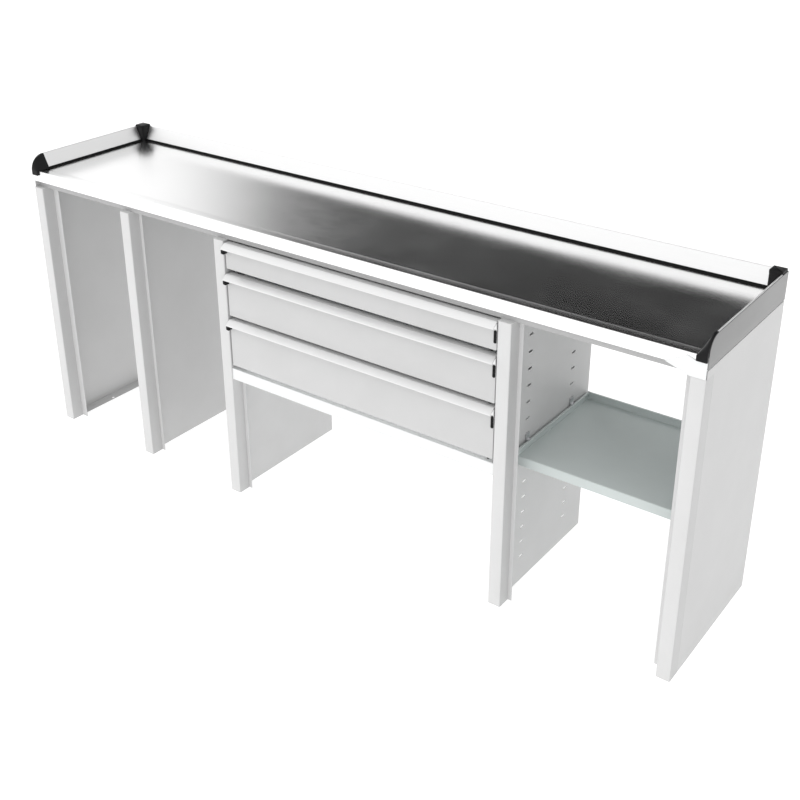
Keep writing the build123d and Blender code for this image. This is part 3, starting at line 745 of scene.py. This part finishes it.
class BENCH_OT_mouldings(bpy.types.Operator):
    """Build the black corner posts and the quarter-round end caps"""

    bl_idname = "bench.mouldings"
    bl_label = "Mouldings"

    def execute(self, context):
        for side in SIDES:
            self.build_post(side)
            self.build_cap(side)
        return {"FINISHED"}

    def build_post(self, side):
        """A square plan, rounder at its inner corner, with a rolled top that overhangs a little."""
        node = f"corner_post_{side}"
        low, high = corners(node)
        big, small = 0.006, 0.002
        radii = [small, big, small, small] if side == "left" else [big, small, small, small]
        points = [(low[0], low[1]), (high[0], low[1]), (high[0], high[1]), (low[0], high[1])]
        outline = rounded(points, radii, steps=8)
        neck, lip, roll = 0.0008, 0.010, 0.003
        angle = np.linspace(0, math.pi / 2, 5)
        heights = [low[2], high[2] - lip, high[2] - lip + neck]
        amounts = [neck, neck, 0.0]
        heights += list(high[2] - roll + roll * np.sin(angle))
        amounts += list(roll * (1 - np.cos(angle)))
        outlines = np.stack([inset(outline, amount) for amount in amounts])
        post = make_piece(f"moulded_post_{side}", [solid("Z", outlines, heights)], smooth=50)
        fit(post, "black_plastic_grain", node, "black_plastic")

    def build_cap(self, side):
        """A quarter of an ellipse in side view, lower towards the bench's middle.

        The ellipse's height falls in a straight line from the rim's width to the foot, as the
        upstand's slope does, and a hook reaches down over the worktop's edge.
        """
        node = f"end_cap_{side}"
        low, high = corners(node)
        skin_low, skin_high = corners("worktop_skin")
        top, foot, flat, roll = skin_high[2], 0.003, 0.006, sizes().edge_roll
        tall, wide = high[2] - top, high[0] - low[0]
        angle = np.linspace(math.pi / 2, math.pi, 24)
        across = np.concatenate([[0.0], roll * (1 - np.cos(np.linspace(0.4, 1.5, 4)))])
        across = np.concatenate([across, np.linspace(flat, wide - roll, 8), [wide]])
        shares = 1 - (1 - foot / tall) * np.clip((across - flat) / (wide - flat), 0.0, 1.0)
        draws = np.zeros(len(across))
        draws[[0, -1]] = roll
        outlines = []
        for share, draw in zip(shares, draws):
            long = high[1] - low[1] - draw
            dome_y = high[1] + long * np.cos(angle)
            dome_z = top + (tall * share - draw * 0.5) * np.sin(angle)
            hook = [(low[1] + draw, low[2] + draw), (skin_low[1], low[2] + draw)]
            hook += [(skin_low[1], top), (high[1], top)]
            outlines.append(np.vstack([np.stack([dome_y, dome_z], axis=1), hook])[::-1])
        stations = low[0] + across if side == "left" else high[0] - across
        cap = solid("X", np.stack(outlines), stations)
        piece = make_piece(f"moulded_cap_{side}", [cap], smooth=50)
        fit(piece, "black_plastic_grain", node, "black_plastic")


# ------------------------------------------------------------------ drawers
def pan(low, high, sheet, roll, steps=5):
    """A front pan, open behind: a rounded rectangle set along Y.

    The rings run from the inner face back to the rear edge, over it, forward along the
    outside and round the front rim, where the inset is roll (1 - cos a) at roll (1 - sin a).
    """
    angle = np.linspace(0, math.pi / 2, steps)
    amounts = np.concatenate([[sheet, sheet, 0.0], roll * (1 - np.cos(angle))])
    stations = np.concatenate([[low[1] + sheet, high[1], high[1]], low[1] + roll * (1 - np.sin(angle))])
    radius = roll + sheet
    outlines = np.stack(
        [
            rectangle((low[0] + a, low[2] + a), (high[0] - a, high[2] - a), max(radius - a, 0.0002))
            for a in amounts
        ]
    )
    return solid("Y", outlines, stations)


class BENCH_OT_fronts(bpy.types.Operator):
    """Build the three drawer fronts as pressed pans with rolled edges"""

    bl_idname = "bench.fronts"
    bl_label = "Drawer fronts"

    def execute(self, context):
        size = sizes()
        for name in DRAWERS:
            node = f"drawer_front_{name}"
            low, high = corners(node)
            front = make_piece(f"pressed_front_{name}", [pan(low, high, size.sheet, size.front_roll)])
            fit(front, "front_coat", node, "powder_coat")
        return {"FINISHED"}


LIP_DROP = 0.015        # the lip below the band's upper edge
LIP_LAND = 0.002
LIP_EASE = 0.0015
LIP_THICK = 0.003
LIP_ROOT = 0.0003
BAND_ROOT = 0.0045      # underside of the band where it meets the leg
PLATE_FOOT = 0.033      # left plate's lower edge, below the band's upper edge
PLATE_EASE = 0.004
PLATE_WIDTH = 0.0075
NOTCH_DEPTH = 0.0014
NOTCH_FOOT = 0.0244
BAR_DROP = 0.027        # right bar's head, below the band's upper edge
BAR_WIDTH = 0.008
BAR_PROUD = 0.003
BAR_CORNER = 0.003


class BENCH_OT_handles(bpy.types.Operator):
    """Build the full-width grips, the mouldings at their ends and the bumpers"""

    bl_idname = "bench.handles"
    bl_label = "Handles"

    def execute(self, context):
        for name in DRAWERS:
            self.build_grip(name)
            self.build_ears(name)
            self.build_bumper(name)
        return {"FINISHED"}

    def build_grip(self, name):
        """Extruded section: a leg on the front, a sloping band and a rounded lip."""
        node = f"handle_{name}"
        low, high = corners(node)
        face, out, top, foot = high[1], low[1], high[2], low[2]
        lip = top - LIP_DROP
        inner = out + LIP_THICK
        leg = face - sizes().sheet
        points = [
            (face, top),
            (out + LIP_EASE, lip + LIP_LAND),
            (out, lip),
            (out, lip - LIP_LAND),
            (out + LIP_EASE, lip - LIP_THICK),
            (inner, lip - LIP_LAND),
            (inner, lip - LIP_ROOT),
            (leg, top - BAND_ROOT),
            (leg, foot),
            (face, foot),
        ]
        radii = [0.0008, 0.001, 0.001, 0.0008, 0.0006, 0.0005, 0.0005, 0.001, 0.0005, 0.0003]
        grip = make_piece(f"grip_{name}", [solid("X", rounded(points, radii), (low[0], high[0]))])
        fit(grip, "handle_satin", node, "handle_aluminium")

    def build_ears(self, name):
        """A moulded plate under the band's left end, and a flush rounded bar at its right end."""
        node = f"handle_caps_{name}"
        low, high = corners(node)
        top = corners(f"handle_{name}")[1][2]
        roll = sizes().edge_roll * 0.6
        pieces = [self.left_plate(low, high, top, roll), self.right_bar(low, high, top, roll * 2)]
        fit(make_piece(f"ears_{name}", pieces, smooth=50), "black_plastic_grain", node, "black_plastic")

    def left_plate(self, low, high, top, roll):
        """Side view from the band's underside down to a chamfered foot, with a notch for the leg."""
        face, nose, under, foot = high[1], low[1], high[2], top - PLATE_FOOT
        notch, leg_foot = face - NOTCH_DEPTH, top - NOTCH_FOOT
        side_view = [
            (notch, under),
            (nose, under),
            (nose, foot + PLATE_EASE),
            (nose + PLATE_EASE, foot),
            (face, foot),
            (face, leg_foot),
            (notch, leg_foot),
        ]
        outline = rounded(side_view, [0, 0.0008, 0.001, 0.001, 0, 0, 0])
        return rolled("X", outline, low[0], low[0] + PLATE_WIDTH, roll)

    def right_bar(self, low, high, top, roll):
        """A rounded rectangle on the front's face, whose rim is rolled as pan's is."""
        face = high[1]
        left, foot, right, head = high[0] - BAR_WIDTH, low[2], high[0], top - BAR_DROP
        angle = np.linspace(0, math.pi / 2, 5)
        amounts = np.concatenate([[0.0], roll * (1 - np.cos(angle))])
        stations = np.concatenate([[face], face - BAR_PROUD + roll * (1 - np.sin(angle))])
        outlines = [rectangle((left + a, foot + a), (right - a, head - a), BAR_CORNER) for a in amounts]
        return solid("Y", np.stack(outlines), stations)

    def build_bumper(self, name):
        node = f"bumper_{name}"
        low, high = corners(node)
        radius, foot = (high[0] - low[0]) / 2, 0.0015
        angle = np.linspace(0, math.pi / 2, 5)
        radii = np.concatenate([radius - foot + foot * np.sin(angle), [radius]])
        heights = np.concatenate([foot - foot * np.cos(angle), [high[2] - low[2]]])
        centre = ((low[0] + high[0]) / 2, (low[1] + high[1]) / 2, low[2])
        bumper = make_piece(f"stop_{name}", [turned(centre, radii, heights)])
        fit(bumper, "black_rubber_grain", node, "seal_rubber")


class BENCH_OT_trays(bpy.types.Operator):
    """Build the drawer trays with a rolled rim, and finish the slides"""

    bl_idname = "bench.trays"
    bl_label = "Drawer trays"

    def execute(self, context):
        for name in DRAWERS:
            node = f"drawer_tray_{name}"
            low, high = corners(node)
            fit(make_piece(f"tray_{name}", [self.tray(low, high)]), "powder_coat", node, "powder_coat")
            dress("zinc_plate", f"slide_inner_{name}", f"slide_mid_{name}", f"slide_fixed_{name}")
        dress("powder_coat", "slide_posts")
        return {"FINISHED"}

    def tray(self, low, high):
        """Rings run up the inside, over a hem rolled inwards, and down the outside."""
        size = sizes()
        sheet, hem = size.sheet, size.hem
        angle = np.linspace(0, math.pi, 7)
        hem_inset = sheet + hem / 2 + (hem / 2) * np.cos(angle)
        hem_rise = high[2] - hem / 2 + (hem / 2) * np.sin(angle)
        amounts = np.concatenate([[sheet, sheet, sheet + hem], hem_inset[1:-1], [0.0, 0.0]])
        heights = np.concatenate(
            [
                [low[2] + sheet, high[2] - hem * 1.4, high[2] - hem * 0.9],
                hem_rise[1:-1],
                [high[2] - hem * 0.5, low[2]],
            ]
        )
        outlines = np.stack(
            [
                rectangle((low[0] + a, low[1] + a), (high[0] - a, high[1] - a), corner)
                for a, corner in zip(amounts, np.maximum(0.004 - amounts / 2, 0.001))
            ]
        )
        return solid("Z", outlines, heights)


# ------------------------------------------------------------------ shelf
class BENCH_OT_shelf(bpy.types.Operator):
    """Fold the shelf with its lips and apron, and finish its clips and slotted strips"""

    bl_idname = "bench.shelf"
    bl_label = "Shelf"

    def execute(self, context):
        size = sizes()
        half = size.sheet / 2
        low, high = corners("shelf")
        floor = high[2] - 0.025
        middle = floor - half
        hem = 0.008
        lengthwise = folded(
            [
                (low[1] + 0.012, low[2] + half),
                (low[1] + half, low[2] + half),
                (low[1] + half, middle),
                (high[1] - half, middle),
                (high[1] - half, high[2] - half),
                (high[1] - hem, high[2] - half),
            ],
            size.sheet,
            size.bend * 0.5,
        )
        solids = [solid("X", lengthwise, (low[0], high[0]))]
        for outer, inward in ((low[0], 1), (high[0], -1)):
            lip = folded(
                [
                    (outer + inward * half, floor + 0.0002),
                    (outer + inward * half, high[2] - half),
                    (outer + inward * hem, high[2] - half),
                ],
                size.sheet,
                size.bend * 0.5,
            )
            solids.append(solid("Y", lip, (low[1], high[1] - size.sheet * 1.1)))
        fit(make_piece("folded_shelf", solids), "shelf_coat", "shelf", "powder_coat")
        dress("zinc_plate", "shelf_clips")
        dress("powder_coat", "shelf_strips")
        return {"FINISHED"}


class BENCH_OT_gusset(bpy.types.Operator):
    """Finish the pressed ear that carries the fascia's right end"""

    bl_idname = "bench.gusset"
    bl_label = "Gusset"

    def execute(self, context):
        dress("powder_coat", "corner_gusset")
        return {"FINISHED"}


# ------------------------------------------------------------------ stage
CAMERA_PLACE = (2.0308, -2.5577, 2.1238)
CAMERA_TURN = (64.95, 0.0, 36.02)
CAMERA_LENS = 52.70
CAMERA_SHIFT = (-0.0065, -0.0912)


def make_floor():
    """A wide pale floor that glows a little, so that shadows on it stay faint."""
    reach = 40.0
    mesh = bpy.data.meshes.new("floor")
    low = float(CAD_BOX[0].z) - 0.0005
    corners_xy = [(-reach, -reach, low), (reach, -reach, low), (reach, reach, low), (-reach, reach, low)]
    mesh.from_pydata(corners_xy, [], [(0, 1, 2, 3)])
    floor = bpy.data.objects.new("floor", mesh)
    bpy.context.scene.collection.objects.link(floor)
    material, _, shader = new_material("floor_white")
    shader.inputs["Base Color"].default_value = (0.50, 0.50, 0.50, 1.0)
    shader.inputs["Roughness"].default_value = 0.9
    shader.inputs["Emission Color"].default_value = (1.0, 1.0, 1.0, 1.0)
    shader.inputs["Emission Strength"].default_value = 0.75
    mesh.materials.append(material)


def make_light(name, place, target, size, power):
    data = bpy.data.lights.new(name, "AREA")
    data.shape = "RECTANGLE"
    data.size, data.size_y = size
    data.energy = power
    lamp = bpy.data.objects.new(name, data)
    lamp.location = place
    aim = Vector(target) - Vector(place)
    lamp.rotation_euler = aim.to_track_quat("-Z", "Y").to_euler()
    lamp.visible_glossy = False
    bpy.context.scene.collection.objects.link(lamp)


def make_world():
    """A white studio with a dark opening high behind the bench, which the worktop mirrors.

    Brightness is level + swing cos(heading - brightest), darkened inside the opening.
    Headings run from +Y towards +X. To the camera itself the studio is plain white.
    """
    level, swing, brightest = 1.0, 0.20, math.radians(-105)
    world = bpy.data.worlds.new("studio")
    bpy.context.scene.world = world
    world.use_nodes = True
    tree = world.node_tree
    tree.nodes.clear()
    direction = add_node(tree, "ShaderNodeTexCoord").outputs["Generated"]
    parts = add_node(tree, "ShaderNodeSeparateXYZ", (), {0: direction})
    heading = add_math(tree, "ARCTAN2", parts.outputs["X"], parts.outputs["Y"])
    rise = add_math(tree, "ARCSINE", parts.outputs["Z"])
    wave = add_math(tree, "COSINE", add_math(tree, "SUBTRACT", heading, brightest))
    wall = add_math(tree, "ADD", add_math(tree, "MULTIPLY", wave, swing), level)
    from_left = add_ramp(tree, heading, math.radians(-49), math.radians(-40))
    to_right = add_ramp(tree, heading, math.radians(5), math.radians(-15))
    above = add_ramp(tree, rise, math.radians(10), math.radians(17))
    opening = add_math(tree, "MULTIPLY", from_left, to_right)
    opening = add_math(tree, "MULTIPLY", opening, above)
    open_tone = add_math(tree, "SUBTRACT", 1.0, add_math(tree, "MULTIPLY", opening, 0.995))
    tone = add_math(tree, "MULTIPLY", wall, open_tone)
    seen = add_node(tree, "ShaderNodeLightPath").outputs["Is Camera Ray"]
    strength = add_node(tree, "ShaderNodeMix", {"data_type": "FLOAT"}, {0: seen, 2: tone, 3: 1.05})
    white = {"Color": (1.0, 1.0, 1.0, 1.0), "Strength": strength.outputs[0]}
    background = add_node(tree, "ShaderNodeBackground", (), white)
    output = tree.nodes.new("ShaderNodeOutputWorld")
    tree.links.new(background.outputs[0], output.inputs["Surface"])


class BENCH_OT_stage(bpy.types.Operator):
    """Set up the floor, the studio light and the camera"""

    bl_idname = "bench.stage"
    bl_label = "Stage"

    def execute(self, context):
        scene = context.scene
        make_floor()
        make_world()
        make_light("key_light", (-1.5, -4.5, 4.0), (0, 0, 0.6), (4.0, 3.0), 12.0)
        data = bpy.data.cameras.new("view")
        data.sensor_width = 36.0
        data.lens = CAMERA_LENS
        data.shift_x, data.shift_y = CAMERA_SHIFT
        data.clip_end = 200.0
        camera = bpy.data.objects.new("view", data)
        camera.location = CAMERA_PLACE
        camera.rotation_euler = Euler([math.radians(angle) for angle in CAMERA_TURN], "XYZ")
        scene.collection.objects.link(camera)
        scene.camera = camera
        scene.view_settings.view_transform = "Standard"
        return {"FINISHED"}


# ------------------------------------------------------------------ panel and start
OPERATORS = (
    BENCH_OT_finishes,
    BENCH_OT_uprights,
    BENCH_OT_worktop,
    BENCH_OT_upstands,
    BENCH_OT_mouldings,
    BENCH_OT_fronts,
    BENCH_OT_handles,
    BENCH_OT_trays,
    BENCH_OT_shelf,
    BENCH_OT_gusset,
    BENCH_OT_stage,
)


class BENCH_PT_build(bpy.types.Panel):
    """Every part of the bench, in building order"""

    bl_idname = "BENCH_PT_build"
    bl_label = "Bench"
    bl_space_type = "VIEW_3D"
    bl_region_type = "UI"
    bl_category = "Bench"

    def draw(self, context):
        for operator in OPERATORS:
            self.layout.operator(operator.bl_idname)
        for group in (sizes(), colours()):
            for name in type(group).__annotations__:
                self.layout.prop(group, name)


CLASSES = (BenchSizes, BenchColours) + OPERATORS + (BENCH_PT_build,)


def register():
    for item in CLASSES:
        bpy.utils.register_class(item)
    bpy.types.Scene.bench_sizes = PointerProperty(type=BenchSizes)
    bpy.types.Scene.bench_colours = PointerProperty(type=BenchColours)


def unregister():
    del bpy.types.Scene.bench_colours
    del bpy.types.Scene.bench_sizes
    for item in reversed(CLASSES):
        bpy.utils.unregister_class(item)


def main():
    register()
    for operator in OPERATORS:
        name = operator.bl_idname.split(".")[1]
        getattr(bpy.ops.bench, name)()


if __name__ == "__main__":
    main()
